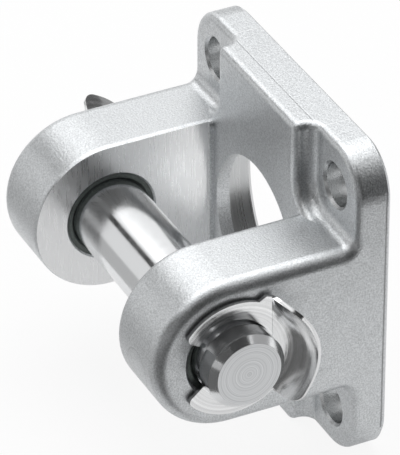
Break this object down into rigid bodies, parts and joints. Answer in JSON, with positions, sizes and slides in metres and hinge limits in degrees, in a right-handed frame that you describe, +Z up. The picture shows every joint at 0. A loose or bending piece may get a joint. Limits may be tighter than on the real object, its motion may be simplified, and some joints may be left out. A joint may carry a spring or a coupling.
{
  "type": "cylinder rear clevis mount",
  "caption": "Female rear clevis for a pneumatic cylinder: cast square flange with two bushed ears, a grooved pin across them and a spring clip on each pin end.",
  "frame": {"origin": "centre of the mounting face, on the cylinder's axis", "axes": "+Y out of the mounting face towards the cylinder, +X along the pin, +Z up across the flange"},
  "size_m": [0.0624, 0.0374, 0.052],
  "materials": {
    "clevis_body": "fine cast, satin",
    "near_bush": "dark, matt",
    "far_bush": "dark, matt",
    "clevis_pin": "ground",
    "near_clip": "bright rolled sheet",
    "far_clip": "bright rolled sheet"
  },
  "bodies": {
    "clevis": {"clevis_body": "clevis_body", "near_bush": "near_bush", "far_bush": "far_bush"},
    "pin": {"clevis_pin": "clevis_pin"},
    "near_clip_body": {"near_clip": "near_clip"},
    "far_clip_body": {"far_clip": "far_clip"}
  },
  "joints": [
    {"name": "pin_spin", "type": "hinge", "parent": "clevis", "child": "pin", "pos_m": [0, -0.025, 0], "axis": [1, 0, 0], "continuous": true},
    {"name": "near_clip_spin", "type": "hinge", "parent": "pin", "child": "near_clip_body", "pos_m": [0.0265, -0.025, 0], "axis": [1, 0, 0], "continuous": true},
    {"name": "far_clip_spin", "type": "hinge", "parent": "pin", "child": "far_clip_body", "pos_m": [-0.0265, -0.025, 0], "axis": [1, 0, 0], "continuous": true}
  ]
}
